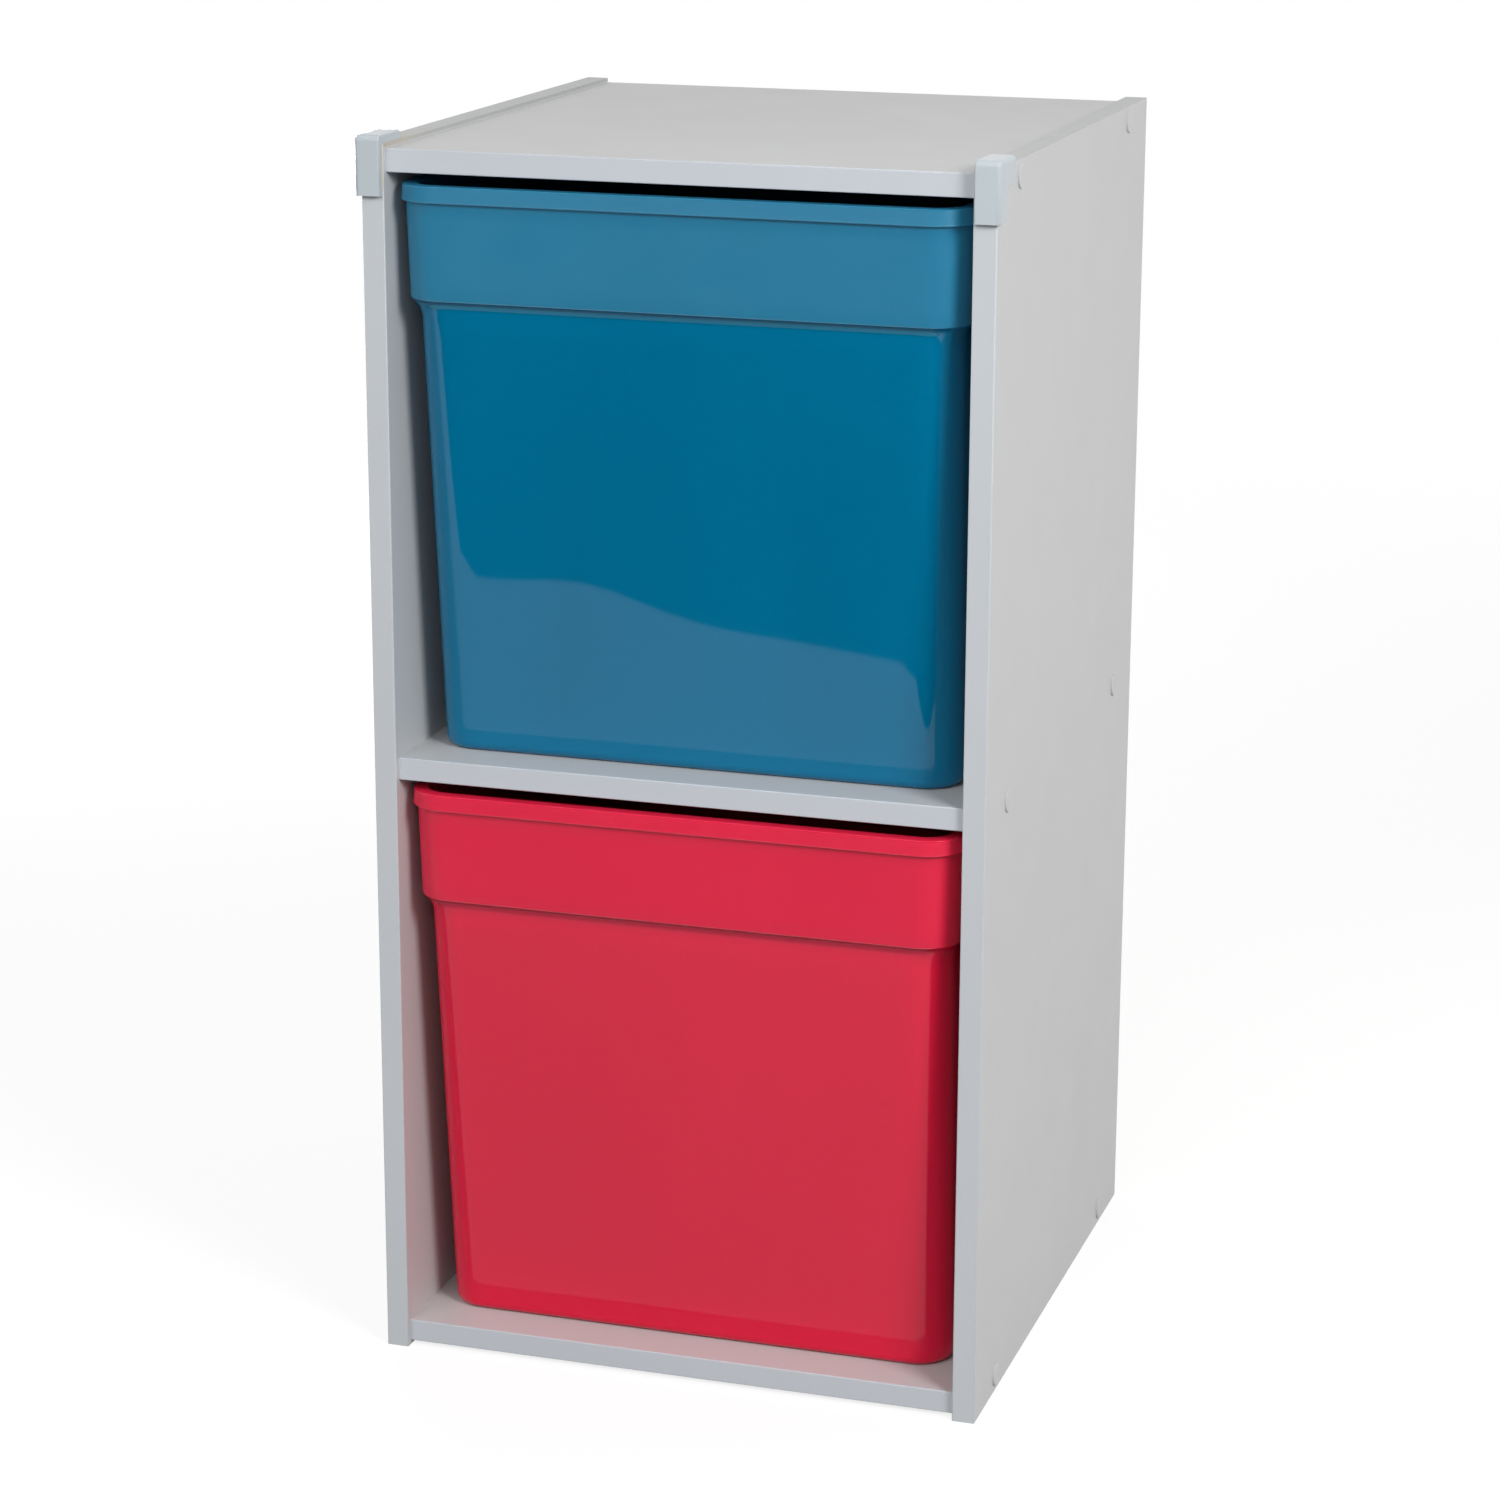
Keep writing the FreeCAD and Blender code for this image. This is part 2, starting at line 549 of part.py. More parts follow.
# The bin stands on zero, with its middle over the origin
def make_bins():
    middle_y = "Derived.front_y + Derived.rim_depth / 2"
    body = new_body("lower_bin", y=middle_y, z="Derived.lower_bay_z")
    corner = "Sizes.body_corner"
    foot = bin_section(body, "foot", "0", "Derived.foot_width", "Derived.foot_depth", corner)
    shoulder = [shoulder_section(body, step) for step in range(SHOULDER_STEPS + 1)]
    skirt = bin_section(
        body, "skirt", "Derived.rim_z", "Derived.skirt_width", "Derived.skirt_depth", "Derived.skirt_corner"
    )
    add_loft(body, "wall", [foot, shoulder[0]])
    add_loft(body, "shoulder", shoulder, ruled=False)
    add_loft(body, "band", [shoulder[-1], skirt])
    rim = bin_section(
        body, "rim", "Derived.rim_z", "Derived.rim_width", "Derived.rim_depth", "Sizes.rim_corner"
    )
    add_pad(body, "lip", rim, "Sizes.rim_height")
    add_fillet(body, "lip_round", "Sizes.rim_round", {"z": "Derived.bin_height"})

    wall = "Sizes.bin_wall"
    land = "Sizes.rim_land"
    skirt_corner = "Derived.skirt_corner"
    rim_corner = "Sizes.rim_corner"
    above_rim = "Derived.bin_height + Sizes.cut_overrun"
    hollow = [
        bin_hollow(body, "hollow_floor", "Sizes.bin_floor", "foot", corner, wall),
        bin_hollow(body, "hollow_body", "Derived.body_z", "body", corner, wall),
        bin_hollow(body, "hollow_hem", f"Derived.hem_z + {wall}", "hem", skirt_corner, wall),
        bin_hollow(body, "hollow_skirt", "Derived.rim_z - Sizes.rim_slope", "skirt", skirt_corner, wall),
        bin_hollow(body, "hollow_rim", "Derived.rim_z", "rim", rim_corner, land),
        bin_hollow(body, "hollow_top", above_rim, "rim", rim_corner, land),
    ]
    add_loft(body, "hollow", hollow, kind="SubtractiveLoft")

    add_fillet(body, "foot_round", "Sizes.foot_round", {"z": "0"})
    add_fillet(body, "floor_round", "Sizes.floor_round", {"z": "Sizes.bin_floor"})
    recess = bin_hollow(body, "recess_outline", "0", "foot", corner, "Sizes.foot_ring")
    add_pocket(body, "recess", recess, "Sizes.foot_recess", reverse=True)

    upper = doc.addObject("App::Link", "upper_bin")
    upper.LinkedObject = body
    upper.setExpression("Placement.Base.y", middle_y)
    upper.setExpression("Placement.Base.z", "Derived.upper_bay_z")


make_side_panel()
make_panel_edging()
make_board("bottom_board", "Derived.bottom_z", "Derived.rear_y", groove_face="Sizes.board_thickness")
make_board("middle_shelf", "Derived.middle_z", "Derived.sheet_front_y")
make_board("top_board", "Derived.top_z", "Derived.rear_y", groove_face="0")
make_board_edging("bottom_board_edging", "Derived.bottom_z")
make_board_edging("middle_shelf_edging", "Derived.middle_z")
make_board_edging("top_board_edging", "Derived.top_z")
make_back_sheet()
make_screws()
make_screw_covers()
make_dowels()
make_corner_guards()
make_bins()
doc.recompute()

NODES = [
    "left_side_panel", "right_side_panel", "left_panel_edging", "right_panel_edging",
    "top_board", "middle_shelf", "bottom_board",
    "top_board_edging", "middle_shelf_edging", "bottom_board_edging",
    "back_sheet", "left_screws", "right_screws", "left_screw_covers", "right_screw_covers",
    "left_dowels", "right_dowels", "left_corner_guard", "right_corner_guard",
    "upper_bin", "lower_bin",
]

for item in doc.Objects:
    if "Invalid" in item.State or "Error" in item.State:
        raise RuntimeError(f"{item.Name} failed: {item.State}")

os.makedirs("parts", exist_ok=True)
for node in NODES:
    shape = Part.getShape(doc.getObject(node))
    if shape.isNull() or not shape.isValid():
        raise RuntimeError(f"{node} has no valid shape")
    print(node, len(shape.Solids), round(shape.Volume, 1))
    shape.exportStep(f"parts/{node}.step")
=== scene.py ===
# Two-tier cube shelf unit with a pull-out moulded bin in each cube: finishes, light and camera.
import json
import math

import bmesh
import bpy
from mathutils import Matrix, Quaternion, Vector


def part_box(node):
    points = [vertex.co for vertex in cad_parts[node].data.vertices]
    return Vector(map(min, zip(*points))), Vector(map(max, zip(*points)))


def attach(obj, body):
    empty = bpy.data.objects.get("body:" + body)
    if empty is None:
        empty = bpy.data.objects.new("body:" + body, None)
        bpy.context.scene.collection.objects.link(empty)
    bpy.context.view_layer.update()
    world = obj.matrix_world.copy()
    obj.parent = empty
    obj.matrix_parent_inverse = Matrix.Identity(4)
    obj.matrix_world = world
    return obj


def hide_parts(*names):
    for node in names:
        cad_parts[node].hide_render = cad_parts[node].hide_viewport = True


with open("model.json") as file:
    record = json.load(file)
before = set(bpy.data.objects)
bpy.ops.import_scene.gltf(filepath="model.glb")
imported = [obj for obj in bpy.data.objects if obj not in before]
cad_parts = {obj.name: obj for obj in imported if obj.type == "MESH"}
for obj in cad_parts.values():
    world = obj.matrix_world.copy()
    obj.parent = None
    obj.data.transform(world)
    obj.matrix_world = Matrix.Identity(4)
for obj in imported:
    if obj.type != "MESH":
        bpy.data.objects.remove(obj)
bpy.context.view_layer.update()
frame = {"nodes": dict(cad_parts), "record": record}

scene = bpy.context.scene
nodes = frame["nodes"]
print("frame loaded:", len(nodes), "nodes")


# Shader helpers

def newFinish(name):
    finish = bpy.data.materials.new(name)
    finish.use_nodes = True
    shader = finish.node_tree.nodes["Principled BSDF"]
    return finish, finish.node_tree, shader


def addNode(tree, kind, **settings):
    node = tree.nodes.new(kind)
    for key, value in settings.items():
        setattr(node, key, value)
    return node


def feed(tree, socket, source):
    if isinstance(source, bpy.types.NodeSocket):
        tree.links.new(source, socket)
    else:
        socket.default_value = source


def place(tree):
    return addNode(tree, "ShaderNodeTexCoord").outputs["Object"]      # metres, in the piece's own frame


def stretch(tree, where, factors):
    mapping = addNode(tree, "ShaderNodeMapping")
    feed(tree, mapping.inputs["Vector"], where)
    mapping.inputs["Scale"].default_value = factors
    return mapping.outputs["Vector"]


def noise(tree, where, grain, detail=2.0, rough=0.5, twist=0.0):
    texture = addNode(tree, "ShaderNodeTexNoise")
    feed(tree, texture.inputs["Vector"], where)
    texture.inputs["Scale"].default_value = 1 / grain                 # grain is the size of one blotch
    texture.inputs["Detail"].default_value = detail
    texture.inputs["Roughness"].default_value = rough
    texture.inputs["Distortion"].default_value = twist
    return texture.outputs["Fac"]


def spread(tree, source, low, high, outLow=0.0, outHigh=1.0, smooth=False):
    node = addNode(tree, "ShaderNodeMapRange", interpolation_type="SMOOTHSTEP" if smooth else "LINEAR")
    feed(tree, node.inputs["Value"], source)
    for key, value in zip(("From Min", "From Max", "To Min", "To Max"), (low, high, outLow, outHigh)):
        node.inputs[key].default_value = value
    return node.outputs["Result"]


def contrast(tree, source, outLow=0.0, outHigh=1.0):
    return spread(tree, source, 0.3, 0.7, outLow, outHigh)            # a noise's middle tones, drawn apart


def sums(tree, operation, a, b):
    node = addNode(tree, "ShaderNodeMath", operation=operation)
    feed(tree, node.inputs[0], a)
    feed(tree, node.inputs[1], b)
    return node.outputs["Value"]


def blendColour(tree, factor, a, b):
    node = addNode(tree, "ShaderNodeMix", data_type="RGBA")
    feed(tree, node.inputs["Factor"], factor)
    feed(tree, node.inputs["A"], a)
    feed(tree, node.inputs["B"], b)
    return node.outputs["Result"]


def ramp(tree, source, *stops):
    node = addNode(tree, "ShaderNodeValToRGB")
    feed(tree, node.inputs["Fac"], source)
    elements = node.color_ramp.elements
    while len(elements) < len(stops):
        elements.new(1.0)
    for element, (at, colour) in zip(elements, stops):
        element.position = at
        element.color = colour
    return node.outputs["Color"]


def bump(tree, height, depth, under=None):
    node = addNode(tree, "ShaderNodeBump")
    node.inputs["Strength"].default_value = 1.0
    node.inputs["Distance"].default_value = depth
    feed(tree, node.inputs["Height"], height)
    if under is not None:
        feed(tree, node.inputs["Normal"], under)
    return node.outputs["Normal"]


def split(tree, vector):
    node = addNode(tree, "ShaderNodeSeparateXYZ")
    feed(tree, node.inputs["Vector"], vector)
    return node.outputs


def facing(tree):
    return split(tree, addNode(tree, "ShaderNodeNewGeometry").outputs["True Normal"])


def rgb(r, g, b):
    return (r, g, b, 1.0)


# Boards: paper-faced chipboard, plain light grey, bare at the rear and underneath

laminateLook = {
    "pale": rgb(0.596, 0.596, 0.600), "dull": rgb(0.584, 0.584, 0.588),
    "topEdge": rgb(0.505, 0.520, 0.512), "innerEdge": rgb(0.445, 0.455, 0.448),
    "rubbed": rgb(0.55, 0.45, 0.34), "rubFleck": 0.0012,
    "mottle": 0.16, "speck": 0.0011, "pearl": 0.0007, "telegraph": 0.008,
    "pearlDepth": 0.00004, "telegraphDepth": 0.00006,
    "wear": 0.03, "roughLow": 0.43, "roughHigh": 0.49, "roughBare": 0.4,
    "chipDark": rgb(0.34, 0.23, 0.13), "chipMid": rgb(0.50, 0.37, 0.23), "chipPale": rgb(0.66, 0.53, 0.36),
    "chipSize": 0.0022, "dustSize": 0.0008, "chipShare": 0.45, "chipDepth": 0.0003,
    "footFrom": 0.002, "footTo": 0.001,
}
panelLow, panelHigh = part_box("left_side_panel")
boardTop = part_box("top_board")[1].z
rubZone = {"front": panelLow.y + 0.022, "back": panelLow.y + 0.06, "ease": 0.0004}     # beside the left guard


def laminateColour(tree, where, look):
    cloudy = spread(tree, noise(tree, where, look["mottle"]), 0.35, 0.65)
    specks = contrast(tree, noise(tree, where, look["speck"], detail=3.0))
    mixed = sums(tree, "ADD", sums(tree, "MULTIPLY", cloudy, 0.5), sums(tree, "MULTIPLY", specks, 0.5))
    return blendColour(tree, mixed, look["dull"], look["pale"])


def laminateNormal(tree, where, look):
    telegraph = bump(tree, noise(tree, where, look["telegraph"], detail=3.0), look["telegraphDepth"])
    return bump(tree, noise(tree, where, look["pearl"], detail=2.0), look["pearlDepth"], under=telegraph)


def flakes(tree, where, size):
    texture = addNode(tree, "ShaderNodeTexVoronoi")
    feed(tree, texture.inputs["Vector"], where)
    texture.inputs["Scale"].default_value = 1 / size
    return split(tree, texture.outputs["Color"])[0], texture.outputs["Distance"]


def chipColour(tree, where, look):
    chips, gaps = flakes(tree, stretch(tree, where, (0.6, 1.0, 0.6)), look["chipSize"])
    dust = flakes(tree, where, look["dustSize"])[0]
    share = look["chipShare"]
    tone = sums(tree, "ADD", sums(tree, "MULTIPLY", chips, share), sums(tree, "MULTIPLY", dust, 1 - share))
    colour = ramp(tree, tone, (0.0, look["chipDark"]), (0.5, look["chipMid"]), (1.0, look["chipPale"]))
    return colour, gaps


def laminateFinish(name, look):
    finish, tree, shader = newFinish(name)
    where = place(tree)
    x, y, z = split(tree, where)
    normal = facing(tree)
    # bare chipboard on the rear edges and under the feet
    bareRear = spread(tree, normal[1], 0.75, 0.95)
    bareFoot = sums(tree, "MULTIPLY", spread(tree, normal[2], -0.75, -0.95),
                    spread(tree, z, look["footFrom"], look["footTo"]))
    bare = sums(tree, "MAXIMUM", bareRear, bareFoot)
    ease = rubZone["ease"]
    stand = spread(tree, z, boardTop + ease, boardTop + 2 * ease)     # the panels' strip above the top board
    upward = sums(tree, "MULTIPLY", spread(tree, normal[2], 0.3, 0.9), stand)
    grey = laminateColour(tree, where, look)
    grey = blendColour(tree, upward, grey, look["topEdge"])
    inward = spread(tree, sums(tree, "MULTIPLY", normal[0], x), -0.05, -0.1)      # faces turned to the middle
    grey = blendColour(tree, sums(tree, "MULTIPLY", inward, stand), grey, look["innerEdge"])
    rub = sums(tree, "MULTIPLY", stand, spread(tree, y, rubZone["back"], rubZone["front"]))
    rub = sums(tree, "MULTIPLY", rub, spread(tree, x, panelHigh.x + ease, panelHigh.x))
    fleck = spread(tree, noise(tree, where, look["rubFleck"], detail=3.0, rough=0.7), 0.42, 0.60, 0.1, 0.9)
    grey = blendColour(tree, sums(tree, "MULTIPLY", rub, fleck), grey, look["rubbed"])
    chips, gaps = chipColour(tree, where, look)
    feed(tree, shader.inputs["Base Color"], blendColour(tree, bare, grey, chips))
    worn = contrast(tree, noise(tree, where, look["wear"], detail=4.0), look["roughLow"], look["roughHigh"])
    rougher = sums(tree, "MULTIPLY", bare, look["roughBare"])
    feed(tree, shader.inputs["Roughness"], sums(tree, "ADD", worn, rougher))
    pits = sums(tree, "MULTIPLY", gaps, bare)
    feed(tree, shader.inputs["Normal"], bump(tree, pits, look["chipDepth"],
                                             under=laminateNormal(tree, where, look)))
    return finish


# Edge band on the front edges, a shade bluer than the boards

bandLook = dict(laminateLook, pale=rgb(0.596, 0.632, 0.676), dull=rgb(0.576, 0.612, 0.656),
                aged=rgb(0.56, 0.53, 0.43), agedFrom=-0.002, agedTo=0.004, agedMost=0.7,
                wear=0.02, roughLow=0.36, roughHigh=0.46, telegraphDepth=0.00003)
panelBandLook = dict(bandLook, pale=rgb(0.598, 0.628, 0.657), dull=rgb(0.578, 0.608, 0.637))


def bandFinish(name, look, agedAbove):
    finish, tree, shader = newFinish(name)
    where = place(tree)
    colour = laminateColour(tree, where, look)
    if agedAbove is not None:
        aged = spread(tree, split(tree, where)[2], agedAbove + look["agedFrom"], agedAbove + look["agedTo"],
                      0.0, look["agedMost"])
        colour = blendColour(tree, aged, colour, look["aged"])
    feed(tree, shader.inputs["Base Color"], colour)
    worn = contrast(tree, noise(tree, where, look["wear"], detail=3.0), look["roughLow"], look["roughHigh"])
    feed(tree, shader.inputs["Roughness"], worn)
    feed(tree, shader.inputs["Normal"], laminateNormal(tree, where, look))
    return finish


# Back sheet: hardboard, grey towards the bins and brown behind

hardboardLook = {
    "pale": rgb(0.47, 0.33, 0.20), "dark": rgb(0.41, 0.28, 0.165), "fleck": rgb(0.22, 0.14, 0.08),
    "fibre": 0.0009, "cloud": 0.05, "fibreDepth": 0.00012, "roughLow": 0.45, "roughHigh": 0.82,
}


def hardboardFinish(name, look, face):
    finish, tree, shader = newFinish(name)
    where = place(tree)
    rear = spread(tree, facing(tree)[1], 0.3, 0.7)
    fibres = noise(tree, stretch(tree, where, (1.0, 1.0, 0.35)), look["fibre"], detail=5.0, rough=0.65)
    brown = blendColour(tree, contrast(tree, noise(tree, where, look["cloud"])), look["dark"], look["pale"])
    brown = blendColour(tree, spread(tree, fibres, 0.52, 0.72, 0.0, 0.75), brown, look["fleck"])
    grey = laminateColour(tree, where, face)
    feed(tree, shader.inputs["Base Color"], blendColour(tree, rear, grey, brown))
    coarse = spread(tree, sums(tree, "ADD", fibres, rear), 0.3, 1.7, look["roughLow"], look["roughHigh"])
    feed(tree, shader.inputs["Roughness"], coarse)
    feed(tree, shader.inputs["Normal"], bump(tree, sums(tree, "MULTIPLY", fibres, rear), look["fibreDepth"]))
    return finish


# Moulded plastic: guards, covers and bins share one recipe

def plasticFinish(name, look):
    finish, tree, shader = newFinish(name)
    where = place(tree)
    flow = contrast(tree, noise(tree, stretch(tree, where, (1.0, 1.0, 0.4)), look["flow"], twist=0.6))
    feed(tree, shader.inputs["Base Color"], blendColour(tree, flow, look["deep"], look["colour"]))
    shader.inputs["Specular IOR Level"].default_value = look["mirror"]
    shader.inputs["Subsurface Weight"].default_value = look["glow"]   # a little light soaks into the wall
    shader.inputs["Subsurface Radius"].default_value = (1.0, 1.0, 1.0)
    shader.inputs["Subsurface Scale"].default_value = look["soak"]
    handled = noise(tree, where, look["smear"], detail=4.0, rough=0.6)
    feed(tree, shader.inputs["Roughness"], contrast(tree, handled, look["roughLow"], look["roughHigh"]))
    peel = bump(tree, noise(tree, where, look["peel"], detail=1.0), look["peelDepth"])
    feed(tree, shader.inputs["Normal"], bump(
        tree, noise(tree, where, look["spark"], detail=2.0), look["sparkDepth"], under=peel))
    return finish


guardLook = {
    "colour": rgb(0.522, 0.578, 0.612), "deep": rgb(0.511, 0.566, 0.600), "flow": 0.03, "smear": 0.012,
    "roughLow": 0.08, "roughHigh": 0.13, "peel": 0.006, "peelDepth": 0.000003, "spark": 0.0005,
    "sparkDepth": 0.000001, "mirror": 0.12, "glow": 0.0, "soak": 0.003,
}
coverLook = dict(guardLook, colour=rgb(0.605, 0.606, 0.610), deep=rgb(0.585, 0.586, 0.592),
                 roughLow=0.30, roughHigh=0.38)

blueBandLook = {
    "colour": rgb(0.017, 0.213, 0.372), "deep": rgb(0.015, 0.201, 0.354), "flow": 0.09, "smear": 0.03,
    "roughLow": 0.40, "roughHigh": 0.50, "peel": 0.006, "peelDepth": 0.00002, "spark": 0.0007,
    "sparkDepth": 0.00003, "mirror": 0.45, "glow": 0.35, "soak": 0.003,
}
glossy = {"roughLow": 0.020, "roughHigh": 0.034, "peel": 0.012, "peelDepth": 0.000002, "sparkDepth": 0.0,
          "mirror": 0.33}
blueBodyLook = dict(blueBandLook, colour=rgb(0.0003, 0.176, 0.338), deep=rgb(0.0003, 0.166, 0.320), **glossy)
redBandLook = dict(blueBandLook, colour=rgb(0.803, 0.014, 0.064), deep=rgb(0.773, 0.013, 0.060))
redBodyLook = dict(redBandLook, colour=rgb(0.800, 0.007, 0.053), deep=rgb(0.770, 0.006, 0.049), **glossy)
polished = dict(glossy, roughLow=0.08, roughHigh=0.12, mirror=0.9)    # rounded edges of the lip and the hem


# Hidden fasteners: plated screws and beech dowels

screwLook = {
    "dark": rgb(0.50, 0.50, 0.52), "pale": rgb(0.66, 0.66, 0.66), "spangle": 0.0012,
    "roughLow": 0.28, "roughHigh": 0.45,
}
dowelLook = {
    "dark": rgb(0.42, 0.27, 0.14), "pale": rgb(0.60, 0.43, 0.26), "grain": 0.0006,
    "roughLow": 0.5, "roughHigh": 0.65,
}


def steelFinish(name, look):
    finish, tree, shader = newFinish(name)
    spangle = noise(tree, place(tree), look["spangle"])
    feed(tree, shader.inputs["Base Color"], ramp(tree, spangle, (0.3, look["dark"]), (0.7, look["pale"])))
    shader.inputs["Metallic"].default_value = 1.0
    feed(tree, shader.inputs["Roughness"], contrast(tree, spangle, look["roughLow"], look["roughHigh"]))
    return finish


def beechFinish(name, look):
    finish, tree, shader = newFinish(name)
    grain = noise(tree, stretch(tree, place(tree), (0.1, 1.0, 1.0)), look["grain"], detail=4.0)
    feed(tree, shader.inputs["Base Color"], ramp(tree, grain, (0.3, look["dark"]), (0.7, look["pale"])))
    feed(tree, shader.inputs["Roughness"], contrast(tree, grain, look["roughLow"], look["roughHigh"]))
    return finish


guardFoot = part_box("left_corner_guard")[0].z
finishes = {
    "laminate": laminateFinish("greyLaminate", laminateLook),
    "edging": bandFinish("greyEdgeBand", bandLook, None),
    "hardboard": hardboardFinish("brownHardboard", hardboardLook, laminateLook),
    "steel": steelFinish("platedSteel", screwLook),
    "cover_plastic": plasticFinish("coverPlastic", coverLook),
    "beech": beechFinish("dowelBeech", dowelLook),
    "guard_plastic": plasticFinish("guardPlastic", guardLook),
}
for part in frame["record"]["subparts"]:
    if part["material_slot"] in finishes:
        nodes[part["node"]].material_slots[0].material = finishes[part["material_slot"]]
agedBand = bandFinish("agedEdgeBand", panelBandLook, guardFoot)
for name in ("left_panel_edging", "right_panel_edging"):
    nodes[name].material_slots[0].material = agedBand
print("finishes set on the boards and fittings")


# Boards, edge bands and guards keep their solids, with eased arrises

boardEdge = {"ease": 0.0004, "steps": 2, "sharper": math.radians(40), "join": 0.00001}
bandEdge = dict(boardEdge, ease=0.0005, steps=3)
guardEdge = dict(boardEdge, ease=0.0003)


def easeEdges(piece, edge):
    weld = piece.modifiers.new("join", "WELD")
    weld.merge_threshold = edge["join"]
    ease = piece.modifiers.new("ease", "BEVEL")
    ease.width = edge["ease"]
    ease.segments = edge["steps"]
    ease.limit_method = "ANGLE"
    ease.angle_limit = edge["sharper"]
    ease.use_clamp_overlap = True


boards = ["left_side_panel", "right_side_panel", "top_board", "middle_shelf", "bottom_board", "back_sheet"]
bands = ["left_panel_edging", "right_panel_edging", "top_board_edging", "middle_shelf_edging",
         "bottom_board_edging"]
guards = ["left_corner_guard", "right_corner_guard"]
for names, edge in ((boards, boardEdge), (bands, bandEdge), (guards, guardEdge)):
    for name in names:
        easeEdges(nodes[name], edge)
print("edges of boards, bands and guards eased")


# Bins: one moulding with a drafted body, a hollow shoulder, a plain band and a turned lip

binShape = {
    "rimHeight": 0.0084, "rimLand": 0.0085, "rimOverhang": 0.0025, "rimCorner": 0.022,
    "rimRound": 0.0007, "rimFoot": 0.0004, "rimLean": 0.0006, "flareHigh": 0.0014, "flareOut": 0.0002,
    "flareRows": [0.5, 1.0], "landRound": 0.0009, "rimSlope": 0.0045,
    "bandHeight": 0.050, "bandTaper": 0.0012, "hemRound": 0.0006,
    "shoulderStep": 0.0042, "sideDrop": 0.011, "frontDrop": 0.0042,
    "shoulderRows": [0.2, 0.38, 0.52, 0.619, 0.66, 0.71, 0.77, 0.84, 0.91, 0.96],
    "bodyCorner": 0.020, "sideTaper": 0.0015, "frontTaper": 0.020,
    "wall": 0.0022, "floor": 0.0025, "footRound": 0.005, "floorRound": 0.003,
    "footRing": 0.014, "footRecess": 0.0008, "recessEase": 0.0006,
    "bow": 0.0005, "swell": 0.00098, "swellAt": -0.2, "swellWide": 0.32, "flatFrom": 0.55, "flatTo": 0.97,
    "arcSteps": 6, "edgeSteps": 3, "rimFootSteps": 4, "cornerSteps": 12, "sideSteps": 30,
    "wallRows": 30, "bandRows": 6, "sharper": math.radians(32),
}


def fade(value, low, high):
    share = min(max((value - low) / (high - low), 0.0), 1.0)
    return share * share * (3 - 2 * share)


def quarter(steps):
    return [math.pi / 2 * k / steps for k in range(steps + 1)]


# How far a hollow of this drop has swept out at a depth below the hem
def sweepOut(shape, drop, below):
    step = shape["shoulderStep"]
    radius = (step ** 2 + drop ** 2) / (2 * step)
    rise = max(drop - below, 0.0)
    return radius - math.sqrt(max(radius ** 2 - rise ** 2, 0.0))


